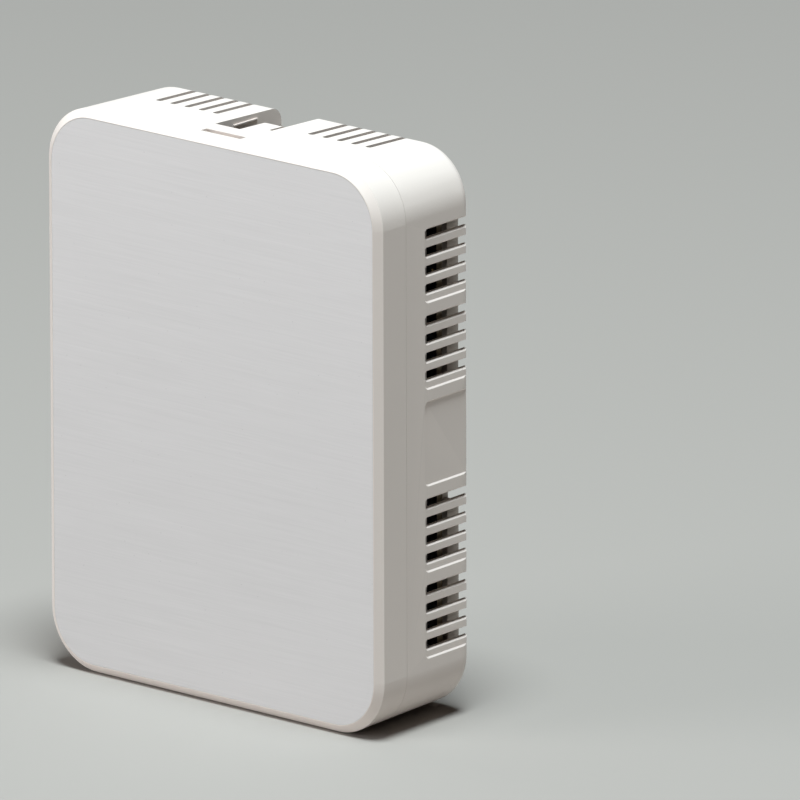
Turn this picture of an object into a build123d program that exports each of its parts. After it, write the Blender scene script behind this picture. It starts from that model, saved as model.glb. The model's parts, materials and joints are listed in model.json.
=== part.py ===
from build123d import *
from math import atan2, ceil, cos, degrees, pi, radians, sin, tan
import os

# Wall-mounted air quality monitor, in millimetres. The wall is the plane y = 0 and the monitor
# stands out of it towards -Y. X points right for someone who faces it, and Z points up. The
# origin is the centre of the wall plate's back, midway between the wall box screws.

# ---------------------------------------------------------------- shell
body_width = 86.5
body_height = 115.0
body_depth = 29.0
corner_radius = 11.8
draft_angle = 1.8
shell_wall = 1.6
front_wall = 1.8
bevel_width = 1.6
bevel_depth = 1.25
rear_round = 3.0
rear_gap = 0.3
cover_depth = 8.25
seam_gap = 0.06
lip_height = 2.0
lip_wall = 0.7
slide_gap = 0.3
bite = 0.3
cutter_reach = 0.5
rebate_inset = 0.14

# ---------------------------------------------------------------- front panel
panel_thickness = 0.8
adhesive_thickness = 0.2
panel_rim = 0.12
panel_gap = 0.05
adhesive_margin = 2.0

# ---------------------------------------------------------------- vents
pad_front = 14.0
pad_recess = 0.32
pad_corner = 1.3
pad_spacing = 2.25
blank_pad_height = 17.3
slot_front = 14.8
slot_corner = 0.45
slot_chamfer = 0.25
chamfer_lead = 0.2
side_slot = 1.9
side_bar = 1.8
pad_top_margin = 0.45
top_slot = 1.4
top_slot_front = 15.3
top_slot_pitch = 3.7
top_slot_first = 12.3

# ---------------------------------------------------------------- cable notch, latch, release slot
notch_left = -6.6
notch_right = 5.1
notch_front = 8.9
latch_left = -0.2
latch_right = 4.3
latch_root = 12.4
latch_end = 18.3
latch_gap = 0.15
latch_tip_height = 2.6
latch_tip_length = 2.8
latch_round = 2.3
liner_wall = 1.2
liner_depth = 3.6
ledge_front = 14.3
ledge_end = 21.4
ledge_drop = 1.0
ledge_side = 0.25
release_width = 10.2
release_length = 1.9
release_front = 2.9
catch_width = 8.0
catch_reach = 3.0
catch_wall = 1.2
guide_width = 7.0
guide_wall = 1.2
guide_length = 9.4

# ---------------------------------------------------------------- wall plate
plate_thickness = 1.8
plate_rim_wall = 1.4
plate_rim_height = 3.4
plate_gap = 2.15
locator_length = 12.0
box_screw_spacing = 60.0
box_screw_width = 4.2
box_screw_slot = 8.0
anchor_width = 46.0
anchor_height = 84.0
anchor_radius = 2.1
wire_opening_width = 40.0
wire_opening_corner = 2.5
wire_opening_height = 30.0
side_notch_low = -15.2
side_notch_high = -9.0
side_notch_depth = 2.7
cable_notch_depth = 3.4
cable_notch_gap = 0.6
tab_wall = 1.4
tab_end_gap = 0.4
tab_side_gap = 0.4

# ---------------------------------------------------------------- main board
board_front = -8.0
board_thickness = 1.6
board_side_gap = 1.15
board_end_gap = 2.6
board_corner = 8.0
board_window_width = 26.0
board_window_height = 20.0
board_window_corner = 1.5
boss_radius = 3.0
boss_height = 11.0
boss_inset_x = 7.0
boss_inset_z = 5.4
boss_pilot = 1.15
rib_wall = 1.2
screw_radius = 1.1
screw_head_radius = 2.2
screw_head_height = 1.5
screw_length = 6.0
screw_hole = 1.4
cross_length = 2.4
cross_width = 0.5
cross_depth = 0.7
solder_gap = 0.1
lead_wall = 0.2
lead_reach = 1.0
chip_clearance = 4.5
coil_clearance = 4.9

# ---------------------------------------------------------------- dust sensor
dust_width = 38.0
dust_height = 35.0
dust_thickness = 12.0
dust_pad = 0.5
dust_wall = 0.8
fan_opening = 8.4
spoke_wall = 1.1
fan_spokes = 3
rotor_lift = 0.4
shaft_inset = 1.4
hub_top = 1.2
blade_root = 0.6
blade_offset = 1.6
rotor_radius = 9.0
rotor_hub_radius = 4.4
rotor_height = 5.2
rotor_floor = 2.2
rotor_blades = 9
blade_wall = 0.7
shaft_radius = 0.6
shaft_clearance = 0.05
stator_radius = 3.4
laser_radius = 2.6
laser_length = 9.0

# ---------------------------------------------------------------- carbon dioxide sensor
gas_width = 20.0
gas_height = 33.0
gas_board = 1.0
gas_stand = 2.5
gas_chamber_width = 17.0
gas_chamber_corner = 2.0
gas_chamber_height = 24.0
gas_chamber_thickness = 6.5
gas_filter_width = 8.0
gas_filter_thickness = 0.3
pin_side = 0.64
pin_pitch = 2.54

# ---------------------------------------------------------------- terminal block
poles = 4
pole_pitch = 3.81
header_wall = 0.9
header_length = 8.6
header_thickness = 9.0
header_floor = 1.6
plug_gap = 0.2
plug_body_length = 11.0
plug_nose_length = 6.6
plug_thickness = 10.4
wire_entry = 2.7
wire_entry_depth = 6.5
clamp_wall = 0.4
clamp_length = 3.4
terminal_screw_radius = 1.35
terminal_screw_length = 3.2
terminal_screw_clearance = 0.08
contact_side = 0.8
contact_length = 5.6

# ---------------------------------------------------------------- switches
dip_count = 4
dip_pitch = 2.54
dip_width = 8.0
dip_thickness = 4.0
dip_travel = 2.0
dip_nib = 1.3
dip_nib_height = 0.9
dip_slot_depth = 1.6
dip_clearance = 0.15
button_side = 6.0
button_thickness = 3.4
button_radius = 1.7
button_clearance = 0.08
button_height = 1.5
button_travel = 0.3
button_depth = 1.6

# ---------------------------------------------------------------- derived places
y_front = -body_depth
y_widest = y_front + bevel_depth
y_seam = y_front + cover_depth
y_rear = -rear_gap
y_pocket = y_front + panel_thickness + adhesive_thickness
y_cavity = y_pocket + front_wall
y_rebate = y_seam - lip_height - slide_gap
lip_inset = shell_wall - lip_wall
panel_inset = bevel_width + panel_rim


def half_width(y, inset=0.0):
    """Half the body's drafted width at a depth, less an inset."""
    return body_width / 2 - inset - (y - y_widest) * tan(radians(draft_angle))


def half_height(y, inset=0.0):
    """Half the body's drafted height at a depth, less an inset."""
    return half_width(y, inset) + (body_height - body_width) / 2


board_left = -half_width(board_front, shell_wall + board_side_gap)
board_right = -board_left
board_top = half_height(board_front, shell_wall + board_end_gap)
board_bottom = -board_top
board_back = board_front + board_thickness
boss_x = board_right - boss_inset_x
boss_z = board_top - boss_inset_z


# ---------------------------------------------------------------- helpers
def block(x0, x1, y0, y1, z0, z1):
    """Box between two opposite corners."""
    centre = Pos((x0 + x1) / 2, (y0 + y1) / 2, (z0 + z1) / 2)
    return centre * Box(x1 - x0, y1 - y0, z1 - z0)


def slab(y0, y1, width, height, radius, x=0.0, z=0.0):
    """Rounded rectangular plate that faces -Y, between two depths."""
    outline = Plane.XZ.offset(-y1) * Pos(x, z) * RectangleRounded(width, height, radius)
    return extrude(outline, y1 - y0)


def rod(x, z, radius, y0, y1):
    """Cylinder along Y between two depths."""
    return extrude(Plane.XZ.offset(-y1) * Pos(x, z) * Circle(radius), y1 - y0)


def drafted(y0, y1, inset=0.0):
    """Solid between two depths whose sides follow the outer skin, inset from it."""
    width = 2 * half_width(y1, inset)
    height = 2 * half_height(y1, inset)
    radius = max(corner_radius - body_width / 2 + width / 2, 0.5)
    outline = Plane.XZ.offset(-y1) * RectangleRounded(width, height, radius)
    return extrude(outline, y1 - y0, taper=-draft_angle)


def on_board(x, z, width, height, thickness, lift=0.0):
    """Box on the board's component side, centred at x, z and standing towards the front."""
    back = board_front - lift
    return block(x - width / 2, x + width / 2, back - thickness, back, z - height / 2, z + height / 2)


def centred_row(count, pitch):
    """Offsets of evenly spaced things about their middle."""
    return [(i - (count - 1) / 2) * pitch for i in range(count)]


def both_sides(cutter, plane):
    """A shape and its mirror image."""
    return [cutter, mirror(cutter, plane)]


def cut(body, tools):
    """A body with each tool removed."""
    for tool in tools:
        body = body - tool
    return body


def join(body, pieces):
    """A body with each piece fused to it."""
    for piece in pieces:
        body = body + piece
    return body


# ---------------------------------------------------------------- front cover and panel
def front_bevel():
    """The bevelled frustum in front of the body's widest section."""
    outline = RectangleRounded(body_width, body_height, corner_radius)
    slope = degrees(atan2(bevel_width, bevel_depth))
    return extrude(Plane.XZ.offset(-y_widest) * outline, bevel_depth, taper=slope)


def panel_slab(y0, y1, inset):
    """A plate with the panel's outline, inset from the body's widest outline."""
    width = body_width - 2 * inset
    height = body_height - 2 * inset
    return slab(y0, y1, width, height, corner_radius - inset)


def cover_guides():
    """Tabs inside the cover that guide it into the housing, two on each long side."""
    tip = y_cavity + guide_length
    outer = half_width(tip, shell_wall + slide_gap)
    height = half_height(tip, shell_wall) / 2
    low = height - guide_width / 2
    tab = block(outer - guide_wall, outer, y_cavity - bite, tip, low, low + guide_width)
    pair = both_sides(tab, Plane.YZ)
    return pair + [mirror(piece, Plane.XY) for piece in pair]


def make_front_cover():
    """Bevelled front shell with a pocket for the panel, a rebate for the lip and a release slot."""
    shell = front_bevel() + drafted(y_widest, y_seam)
    pocket = panel_slab(y_front - 1, y_pocket, panel_inset)
    cavity = drafted(y_cavity, y_seam + 1, shell_wall)
    rebate = drafted(y_rebate, y_seam + 1, lip_inset - rebate_inset)
    top = body_height / 2
    y0 = y_front + release_front
    y1 = y0 + release_length
    release = block(-release_width / 2, release_width / 2, y0, y1, top - 2 * shell_wall, top + 1)
    shell = cut(shell, [pocket, cavity, rebate, release])
    return join(shell, cover_guides())


def make_front_panel():
    """Brushed metal sheet, flush with the inner edge of the bevel."""
    return panel_slab(y_front, y_front + panel_thickness, panel_inset + panel_gap)


def make_panel_adhesive():
    """Double-sided film between the panel and the pocket's floor."""
    return panel_slab(y_front + panel_thickness, y_pocket, panel_inset + adhesive_margin)


# ---------------------------------------------------------------- housing
vent_space = half_height(y_rear) - corner_radius - blank_pad_height / 2 - 2 * pad_spacing
slot_pitch = side_slot + side_bar
slots_per_pad = int((vent_space / 2 - pad_top_margin) // slot_pitch)
pad_height = slots_per_pad * slot_pitch + pad_top_margin
top_slot_space = half_width(y_rear) - corner_radius - top_slot_first
top_slots = int(top_slot_space // top_slot_pitch) + 1


def pad_centres():
    """Heights of the slotted pads' middles, above and below the blank one."""
    first = blank_pad_height / 2 + pad_spacing + pad_height / 2
    second = first + pad_height + pad_spacing
    return [second, first, -first, -second]


def sloping_cutter(height, z, front, corner, lift, depth):
    """Cutter with 45 degree sides in the right side, open at the rear, from a lift off the skin."""
    normal = (cos(radians(draft_angle)), sin(radians(draft_angle)), 0)
    skin = Plane(origin=(body_width / 2, y_widest, 0), x_dir=(0, 0, -1), z_dir=normal)
    outline = RectangleRounded(height, body_depth, corner)
    start = front - bevel_depth
    return extrude(skin.offset(lift) * Pos(-z, start + body_depth / 2) * outline, -depth, taper=45)


def side_recess(height, z):
    """Shallow recess with sloping edges, for a pad."""
    return sloping_cutter(height, z, pad_front, pad_corner, 0, pad_recess)


def side_slot_cutters(z):
    """One slot through the right wall, open at the rear, with its chamfered mouth."""
    y0 = y_front + slot_front
    x0 = half_width(y_rear, shell_wall + cutter_reach)
    outline = RectangleRounded(body_depth, side_slot, slot_corner)
    sketch = Plane.YZ.offset(x0) * Pos(y0 + body_depth / 2, z) * outline
    slot = extrude(sketch, body_width / 2 - x0 + 1)
    grow = slot_chamfer + chamfer_lead
    lift = chamfer_lead - pad_recess
    mouth = sloping_cutter(side_slot + 2 * grow, z, slot_front - grow, slot_corner + grow, lift, grow)
    return [slot, mouth]


def top_slot_cutter(x):
    """One slot through the top wall, open at the rear."""
    y0 = y_front + top_slot_front
    z0 = half_height(y_rear, shell_wall + cutter_reach)
    outline = RectangleRounded(top_slot, body_depth, slot_corner)
    sketch = Plane.XY.offset(z0) * Pos(x, y0 + body_depth / 2) * outline
    return extrude(sketch, body_height / 2 - z0 + 1)


def side_cutters():
    """Pads and slots of both sides."""
    cutters = both_sides(side_recess(blank_pad_height, 0), Plane.YZ)
    for centre in pad_centres():
        cutters += both_sides(side_recess(pad_height, centre), Plane.YZ)
        top = centre + pad_height / 2 - pad_top_margin
        for index in range(slots_per_pad):
            for cutter in side_slot_cutters(top - side_slot / 2 - index * slot_pitch):
                cutters += both_sides(cutter, Plane.YZ)
    return cutters


def top_cutters():
    """Slots of the top and the bottom, in two groups each."""
    cutters = []
    for index in range(top_slots):
        slot = top_slot_cutter(top_slot_first + index * top_slot_pitch)
        pair = both_sides(slot, Plane.YZ)
        cutters += pair + [mirror(piece, Plane.XY) for piece in pair]
    return cutters


def notch_cutters():
    """Cable notch in the top, with the space around and behind the latch tongue."""
    z0 = half_height(y_rear, 2 * shell_wall)
    z1 = body_height / 2 + 1
    entry = block(notch_left, latch_left, y_front + notch_front, 1, z0, z1)
    behind = block(latch_left - 0.1, notch_right, y_front + latch_root, 1, z0, z1)
    return [entry, behind]


def notch_liner(skin):
    """Walls that line the notch at its left and front, with a small ledge, trimmed to the skin."""
    y0 = y_front + notch_front
    z0 = half_height(y_rear) - liner_depth
    z1 = body_height / 2
    left = block(notch_left - liner_wall, notch_left, y0 - liner_wall, 0, z0, z1)
    front_top = half_height(y0, shell_wall) + bite
    front = block(notch_left - liner_wall, latch_left, y0 - liner_wall, y0, z0, front_top)
    ledge_top = half_height(y_front + ledge_end) - ledge_drop
    ledge_y0 = y_front + ledge_front
    ledge_y1 = y_front + ledge_end
    ledge_x1 = notch_left + ledge_side
    ledge = block(notch_left, ledge_x1, ledge_y0, ledge_y1, ledge_top - ledge_side, ledge_top)
    behind_lip = block(-body_width, body_width, y_seam + seam_gap, 0, 0, body_height)
    return [(left & skin) & behind_lip, front, ledge]


def make_bosses():
    """Four screw bosses, each tied to the side and end walls by a rib."""
    pieces = []
    y0 = board_front - boss_height
    x1 = half_width(board_front, shell_wall / 2)
    z1 = half_height(board_front, shell_wall / 2)
    post = rod(boss_x, boss_z, boss_radius, y0, board_front)
    side_rib = block(boss_x, x1, y0, board_front, boss_z - rib_wall / 2, boss_z + rib_wall / 2)
    end_rib = block(boss_x - rib_wall / 2, boss_x + rib_wall / 2, y0, board_front, boss_z, z1)
    pilot = rod(boss_x, boss_z, boss_pilot, board_front - screw_length - cutter_reach, board_front)
    corner = post + side_rib + end_rib - pilot
    pair = both_sides(corner, Plane.YZ)
    pieces += pair + [mirror(piece, Plane.XY) for piece in pair]
    return pieces


def catch_arm():
    """Snap arm behind the cover's release slot, rooted in the lip."""
    y_lip = y_seam - lip_height
    z1 = half_height(y_seam, shell_wall + slide_gap)
    z0 = z1 - catch_wall
    arm = block(-catch_width / 2, catch_width / 2, y_lip - catch_reach, y_seam, z0, z1)
    root = block(-catch_width / 2, catch_width / 2, y_lip, y_seam, z0, z1 + slide_gap + bite)
    return arm + root


def make_housing():
    """Vented rear shell, open front and back, with the lip that enters the cover."""
    skin = drafted(y_seam + seam_gap, y_rear)
    rear_edges = skin.faces().sort_by(Axis.Y)[-1].edges()
    skin = fillet(rear_edges, rear_round)
    lip = drafted(y_seam - lip_height, y_seam + 1, lip_inset)
    inside = drafted(y_seam - lip_height - 1, y_rear + 1, shell_wall)
    shell = cut(skin + lip, [inside])
    shell = cut(shell, side_cutters() + top_cutters() + notch_cutters())
    return join(shell, make_bosses() + [catch_arm()] + notch_liner(skin))


def make_latch_tongue():
    """Springy tongue beside the cable notch, rounded down at its thicker end."""
    y0 = y_front + latch_root + latch_gap
    y1 = y_front + latch_end
    y_tip = y1 - latch_tip_length
    profile = [
        (y0, half_height(y0)),
        (y1, half_height(y1)),
        (y1, half_height(y1) - latch_tip_height),
        (y_tip, half_height(y1) - latch_tip_height),
        (y_tip, half_height(y_tip, shell_wall)),
        (y0, half_height(y0, shell_wall)),
    ]
    outline = Plane.YZ.offset(latch_left) * Polygon(*profile, align=None)
    tongue = extrude(outline, latch_right - latch_left, dir=(1, 0, 0))
    end_edges = tongue.faces().sort_by(Axis.Y)[-1].edges().filter_by(Axis.X)
    return fillet(end_edges.sort_by(Axis.Z)[-1], latch_round)


# ---------------------------------------------------------------- wall plate
plate_inset = shell_wall + plate_gap
plate_half_width = half_width(y_rear, plate_inset)
plate_half_height = half_height(y_rear, plate_inset)


def plate_outline(y0, y1, inset=0.0):
    """A plate with the wall plate's outline between two depths."""
    radius = corner_radius - body_width / 2 + plate_half_width - inset
    return slab(y0, y1, 2 * (plate_half_width - inset), 2 * (plate_half_height - inset), radius)


def wall_plate_holes():
    """Slots for the wall box screws, round holes for wall anchors and the wire opening."""
    holes = []
    for x in (-box_screw_spacing / 2, box_screw_spacing / 2):
        outline = Plane.XZ.offset(-1) * Pos(x, 0) * SlotOverall(box_screw_slot, box_screw_width)
        holes.append(extrude(outline, plate_thickness + 2))
    for x in (-anchor_width / 2, anchor_width / 2):
        for z in (-anchor_height / 2, anchor_height / 2):
            holes.append(rod(x, z, anchor_radius, -plate_thickness - 1, 1))
    holes.append(slab(-plate_thickness - 1, 1, wire_opening_width, wire_opening_height, wire_opening_corner))
    return holes


def wall_plate_notches():
    """Notches in the rim for prying at the sides and for the cable at the top."""
    reach = plate_half_width + 1
    inner = plate_half_width - side_notch_depth
    side = block(inner, reach, -plate_rim_height - 1, 1, side_notch_low, side_notch_high)
    top = plate_half_height + 1
    x1 = latch_left - cable_notch_gap
    cable = block(notch_left, x1, -plate_rim_height - 1, 1, top - 1 - cable_notch_depth, top)
    return both_sides(side, Plane.YZ) + [cable]


def plate_locators():
    """Blocks on the rim that centre the housing, hidden behind its blank pads and its bottom."""
    reach = plate_gap - slide_gap
    x1 = plate_half_width + reach
    half = locator_length / 2
    side = block(plate_half_width - bite, x1, -plate_rim_height, 0, -half, half)
    z1 = plate_half_height + reach
    bottom = block(-half, half, -plate_rim_height, 0, -z1, -plate_half_height + bite)
    return both_sides(side, Plane.YZ) + [bottom]


def latch_tab():
    """Upright that the latch tongue's end bears on, standing on an ear of the plate."""
    x0 = latch_left + tab_side_gap
    x1 = latch_right - tab_side_gap
    z1 = half_height(y_rear, shell_wall + slide_gap)
    tab_end = y_front + latch_end + tab_end_gap
    ear = block(x0, x1, -plate_thickness, 0, plate_half_height - 2 * bite, z1)
    tab = block(x0, x1, tab_end, -plate_thickness + bite, z1 - tab_wall, z1)
    return ear + tab


def make_wall_plate():
    """Flat plate with a rim, fixed to the wall, with locators and the tab for the latch."""
    plate = plate_outline(-plate_rim_height, 0)
    plate = plate - plate_outline(-plate_rim_height - 1, -plate_thickness, plate_rim_wall)
    plate = cut(join(plate, plate_locators()), wall_plate_holes() + wall_plate_notches())
    return plate + latch_tab()


# ---------------------------------------------------------------- main board and its fasteners
def make_main_board():
    """Circuit board with a window for the wires and four screw holes."""
    board = slab(board_front, board_back, 2 * board_right, 2 * board_top, board_corner)
    y0, y1 = board_front - 1, board_back + 1
    window = slab(y0, y1, board_window_width, board_window_height, board_window_corner)
    holes = [rod(x, z, screw_hole, board_front - 1, board_back + 1) for x, z in boss_places()]
    return cut(board, [window] + holes)


def boss_places():
    """The four corners at which the board is screwed down."""
    return [(x, z) for x in (-boss_x, boss_x) for z in (-boss_z, boss_z)]


def make_board_screws():
    """Four pan head screws from behind the board into the bosses."""
    screws = []
    for x, z in boss_places():
        shank = rod(x, z, screw_radius, board_front - screw_length, board_back + bite)
        head = rod(x, z, screw_head_radius, board_back, board_back + screw_head_height)
        rim = head.faces().sort_by(Axis.Y)[-1].edges()
        head = fillet(rim, screw_head_height * 0.5)
        centre = Pos(x, board_back + screw_head_height, z)
        slots = [centre * Box(cross_length, 2 * cross_depth, cross_width)]
        slots.append(centre * Box(cross_width, 2 * cross_depth, cross_length))
        screws.append(cut(shank + head, slots))
    return Compound(screws)


# ---------------------------------------------------------------- small components
window_bottom = -board_window_height / 2
chip_x = -(poles * pole_pitch / 2 + header_wall + plug_gap + chip_clearance)
coil_x = poles * pole_pitch / 2 + header_wall + plug_gap + coil_clearance
chip_chamfer = 0.2
chips = {
    "microcontroller": (chip_x, board_bottom + 10.5, 7.0, 7.0, 1.4, 8),
    "bus_transceiver": (chip_x, window_bottom - 13.5, 4.0, 5.0, 1.5, 4),
    "voltage_regulator": (coil_x, window_bottom - 16.5, 4.0, 5.0, 1.5, 4),
}


def make_chip(x, z, width, height, thickness, leads):
    """Moulded body of a chip, standing just off the board on its leads."""
    body = on_board(x, z, width, height, thickness, solder_gap)
    front = body.faces().sort_by(Axis.Y)[0]
    return chamfer(front.edges(), chip_chamfer)


def make_chip_leads():
    """Flat tinned leads at the left and right of each chip."""
    leads = []
    for x, z, width, height, thickness, count in chips.values():
        pitch = height * 0.9 / count
        for offset in centred_row(count, pitch):
            for side in (-1, 1):
                centre = x + side * (width + lead_reach) / 2
                leads.append(on_board(centre, z + offset, lead_reach, pitch * 0.45, lead_wall + 0.3))
    return Compound(leads)


capacitor_radius = 4.0
capacitor_height = 9.5
capacitor_shoulder = 0.6
score_width = 0.3
capacitor_x = board_right - 9.0
capacitor_zs = (board_bottom + 14.5, board_bottom + 24.0)
inductor_x = coil_x
inductor_z = board_bottom + 9.5
inductor_side = 7.0
inductor_height = 4.0
inductor_chamfer = 1.0
led_z = board_bottom + 18.5
led_width = 1.6
led_height = 0.9
led_thickness = 0.8
led_round = 0.2


def make_capacitors():
    """Two electrolytic cans with rounded shoulders and a scored vent."""
    cans = []
    for z in capacitor_zs:
        front = board_front - capacitor_height
        can = rod(capacitor_x, z, capacitor_radius, front, board_front)
        shoulder = can.faces().sort_by(Axis.Y)[0].edges()
        can = fillet(shoulder, capacitor_shoulder)
        score = Pos(capacitor_x, front, z) * Box(capacitor_radius, score_width, score_width)
        cross = Pos(capacitor_x, front, z) * Box(score_width, score_width, capacitor_radius)
        cans.append(can - score - cross)
    return Compound(cans)


def make_inductor():
    """Moulded power inductor with chamfered corners."""
    body = on_board(inductor_x, inductor_z, inductor_side, inductor_side, inductor_height)
    return chamfer(body.edges().filter_by(Axis.Y), inductor_chamfer)


def make_power_led():
    """Small indicator on the board, lit when the supply is on."""
    lens = on_board(chip_x, led_z, led_width, led_height, led_thickness)
    return fillet(lens.faces().sort_by(Axis.Y)[0].edges(), led_round)


# ---------------------------------------------------------------- dust sensor
dust_inset_x = 3.0
dust_inset_z = 8.6
dust_corner = 1.5
dust_x = board_left + dust_inset_x + dust_width / 2
dust_z = board_top - dust_inset_z - dust_height / 2
dust_back = board_front - dust_pad
dust_floor = dust_back - dust_wall
dust_front = dust_back - dust_thickness
lid_back = dust_front + dust_wall
fan_shift_x = 7.0
fan_shift_z = 5.0
fan_x = dust_x - fan_shift_x
fan_z = dust_z + fan_shift_z
outlet_count = 5
outlet_pitch = 2.2
outlet_height = 1.2
rotor_back = dust_floor - rotor_floor
rotor_front = rotor_back - rotor_height


def make_dust_pad():
    """Foam pad that sticks the dust sensor to the board."""
    return on_board(dust_x, dust_z, dust_width - 3, dust_height - 3, dust_pad)


def make_dust_case():
    """Shielding case of the dust sensor, open at the front, with an inlet and an outlet."""
    x0 = dust_x - dust_width / 2
    z0 = dust_z - dust_height / 2
    outer = block(x0, x0 + dust_width, lid_back, dust_back, z0, z0 + dust_height)
    outer = fillet(outer.edges().filter_by(Axis.Y), dust_corner)
    inner = block(
        x0 + dust_wall,
        x0 + dust_width - dust_wall,
        lid_back - 1,
        dust_floor,
        z0 + dust_wall,
        z0 + dust_height - dust_wall,
    )
    ports = [Pos(dust_x + 9, (dust_floor + lid_back) / 2, z0) * Box(8, 5, 4)]
    for offset in centred_row(outlet_count, outlet_pitch):
        ports.append(Pos(x0, (dust_floor + lid_back) / 2, fan_z + offset) * Box(4, 6, outlet_height))
    return cut(outer, [inner] + ports)


def make_dust_lid():
    """Lid of the dust sensor, with a round fan opening crossed by three spokes."""
    lid = slab(dust_front, lid_back, dust_width, dust_height, dust_corner, dust_x, dust_z)
    lid = lid - rod(fan_x, fan_z, fan_opening, dust_front - 1, lid_back + 1)
    hub = rod(fan_x, fan_z, rotor_hub_radius, dust_front, lid_back)
    for index in range(fan_spokes):
        spoke = Box(spoke_wall, dust_wall, fan_opening + 1)
        spoke = Pos(0, 0, (fan_opening + 1) / 2) * spoke
        turned = Rot(0, 360 / fan_spokes * index, 0) * spoke
        hub = hub + Pos(fan_x, (dust_front + lid_back) / 2, fan_z) * turned
    return lid + hub


def make_fan_motor():
    """Stator of the fan on the case's floor, with the shaft that the rotor turns on."""
    stator = rod(fan_x, fan_z, stator_radius, dust_floor - rotor_floor + rotor_lift, dust_floor)
    shaft = rod(fan_x, fan_z, shaft_radius, rotor_front + shaft_inset, dust_floor - bite)
    return stator + shaft


def make_fan_rotor():
    """Fan wheel: a hub bored for the shaft and swept blades around it."""
    hub = rod(fan_x, fan_z, rotor_hub_radius, rotor_front, rotor_back)
    bore = rod(fan_x, fan_z, shaft_radius + shaft_clearance, rotor_front + hub_top, rotor_back + 1)
    reach = rotor_radius - rotor_hub_radius + blade_root
    for index in range(rotor_blades):
        blade = Pos(rotor_hub_radius - blade_root + reach / 2, 0, 0) * Box(reach, rotor_height, blade_wall)
        blade = Rot(0, 360 / rotor_blades * index, 0) * (Pos(0, 0, blade_offset) * blade)
        hub = hub + Pos(fan_x, (rotor_front + rotor_back) / 2, fan_z) * blade
    return hub - bore


def make_laser_module():
    """Brass laser barrel lying on the case's floor."""
    x0 = dust_x + dust_width / 2 - dust_wall - laser_length - 3
    z = dust_z - dust_height / 2 + dust_wall + laser_radius + 3.4
    y = dust_floor - laser_radius
    barrel = Pos(x0 + laser_length / 2, y, z) * Rot(0, 90, 0) * Cylinder(laser_radius, laser_length)
    collar = Pos(x0 + 1, y, z) * Rot(0, 90, 0) * Cylinder(laser_radius * 0.75, 3)
    return barrel + collar


def make_detector_board():
    """Small board with the light detector, standing on the case's floor."""
    x0 = dust_x + dust_width / 2 - dust_wall - laser_length - 14
    z0 = dust_z - dust_height / 2 + dust_wall + 1.2
    board = block(x0, x0 + 8, dust_floor - 1, dust_floor, z0, z0 + 10)
    can = rod(x0 + 4, z0 + 5, 2.2, dust_floor - 4, dust_floor - 0.7)
    return board + can


def make_dust_connector():
    """Socket through which the dust sensor is wired, between it and the window."""
    z = dust_z - dust_height / 2 - 2.4
    socket = on_board(dust_x - 6, z, 12.0, 4.0, 4.2)
    mouth = on_board(dust_x - 6, z, 10.4, 2.6, 3.2, 2.0)
    return socket - mouth


# ---------------------------------------------------------------- carbon dioxide sensor
gas_inset_x = 3.0
gas_inset_z = 9.6
gas_pin_inset = 1.8
gas_pins_a_row = 5
gas_chamber_round = 1.0
small_board_corner = 0.8
gas_x = board_right - gas_inset_x - gas_width / 2
gas_z = board_top - gas_inset_z - gas_height / 2
gas_back = board_front - gas_stand
gas_front = gas_back - gas_board


def make_gas_board():
    """Circuit board of the carbon dioxide sensor, held off the main board by its pins."""
    return slab(gas_front, gas_back, gas_width, gas_height, small_board_corner, gas_x, gas_z)


def pin_rows():
    """Places of the two pin rows under the carbon dioxide sensor's board."""
    places = []
    row_z = gas_height / 2 - gas_pin_inset
    for offset in centred_row(gas_pins_a_row, pin_pitch):
        for z in (gas_z - row_z, gas_z + row_z):
            places.append((gas_x + offset, z))
    return places


def make_gas_pins():
    """Square header pins between the two boards."""
    pins = []
    for x, z in pin_rows():
        pins.append(on_board(x, z, pin_side, pin_side, gas_stand))
    return Compound(pins)


def make_gas_chamber():
    """Gold plated optical chamber with rounded edges."""
    y0 = gas_front - gas_chamber_thickness
    body = slab(y0, gas_front, gas_chamber_width, gas_chamber_height, gas_chamber_corner, gas_x, gas_z)
    return fillet(body.faces().sort_by(Axis.Y)[0].edges(), gas_chamber_round)


def make_gas_filter():
    """White dust membrane over the chamber's inlet."""
    front = gas_front - gas_chamber_thickness
    side = gas_filter_width
    return slab(front - gas_filter_thickness, front, side, side, 1.0, gas_x, gas_z + 4.5)


# ---------------------------------------------------------------- vapour, temperature and humidity sensors
vapour_radius = 4.6
vapour_height = 6.0
vapour_x = board_right - 10.5
vapour_z = -1.5
vapour_mesh_radius = 3.4
vapour_mesh_wall = 0.3
vapour_mesh_gap = 0.02
vapour_flange = 0.6
vapour_flange_height = 0.8


def make_vapour_sensor():
    """Metal can with a base flange, open at the front where the mesh sits."""
    front = board_front - vapour_height
    can = rod(vapour_x, vapour_z, vapour_radius, front, board_front)
    radius = vapour_radius + vapour_flange
    flange = rod(vapour_x, vapour_z, radius, board_front - vapour_flange_height, board_front)
    seat = rod(vapour_x, vapour_z, vapour_mesh_radius, front - 1, front + vapour_mesh_wall)
    return can + flange - seat


def make_vapour_mesh():
    """Woven disc over the can's opening."""
    front = board_front - vapour_height
    return rod(vapour_x, vapour_z, vapour_mesh_radius - vapour_mesh_gap, front, front + vapour_mesh_wall)


climate_x = board_left + 8.0
climate_z = board_bottom + 18.0
climate_width = 9.0
climate_height = 13.0
climate_pins = 3
climate_pin_inset = 1.5
climate_chip_drop = 2.8
climate_chip_side = 3.0
climate_chip_height = 1.1
climate_window_radius = 0.7
climate_window_depth = 0.4


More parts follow.
